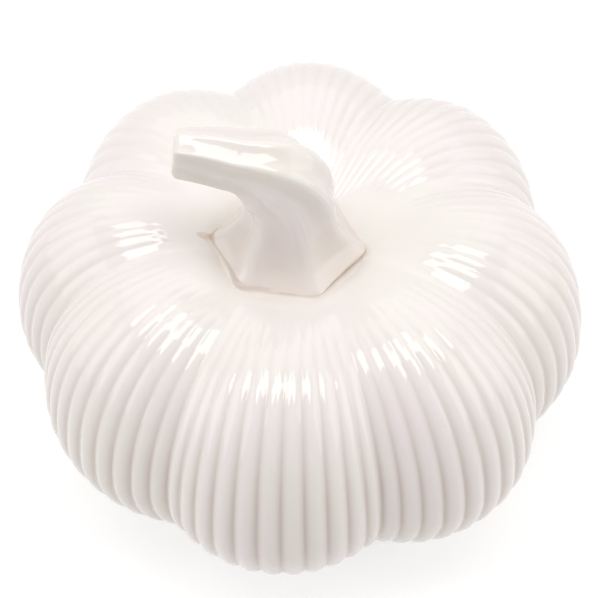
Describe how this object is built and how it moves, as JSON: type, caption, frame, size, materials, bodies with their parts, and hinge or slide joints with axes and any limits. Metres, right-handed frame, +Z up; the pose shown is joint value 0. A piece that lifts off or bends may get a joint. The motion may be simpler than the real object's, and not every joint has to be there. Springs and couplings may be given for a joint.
{
  "type": "ceramic pumpkin figure",
  "caption": "White glazed ceramic pumpkin: a hollow lobed body with fine vertical ribs and a twisted, bent stem joined to its dished crown, standing on felt pads. A table decoration.",
  "frame": {"origin": "on the body's axis, on the surface that the felt pads rest on", "axes": "+Z up, along the body's axis; -Y towards the viewer of the picture; the stem bends towards -X"},
  "size_m": [0.1986, 0.1981, 0.1621],
  "materials": {
    "body_glaze": "glossy white glaze over cast earthenware",
    "stem_glaze": "glossy white glaze over cast earthenware",
    "slip": "glazed-over casting slip",
    "felt": "pressed wool felt"
  },
  "bodies": {
    "root": {"body_shell": "body_glaze", "stem": "stem_glaze", "stem_slip_joint": "slip", "foot_pad_front": "felt", "foot_pad_right": "felt", "foot_pad_back": "felt", "foot_pad_left": "felt"}
  },
  "joints": []
}
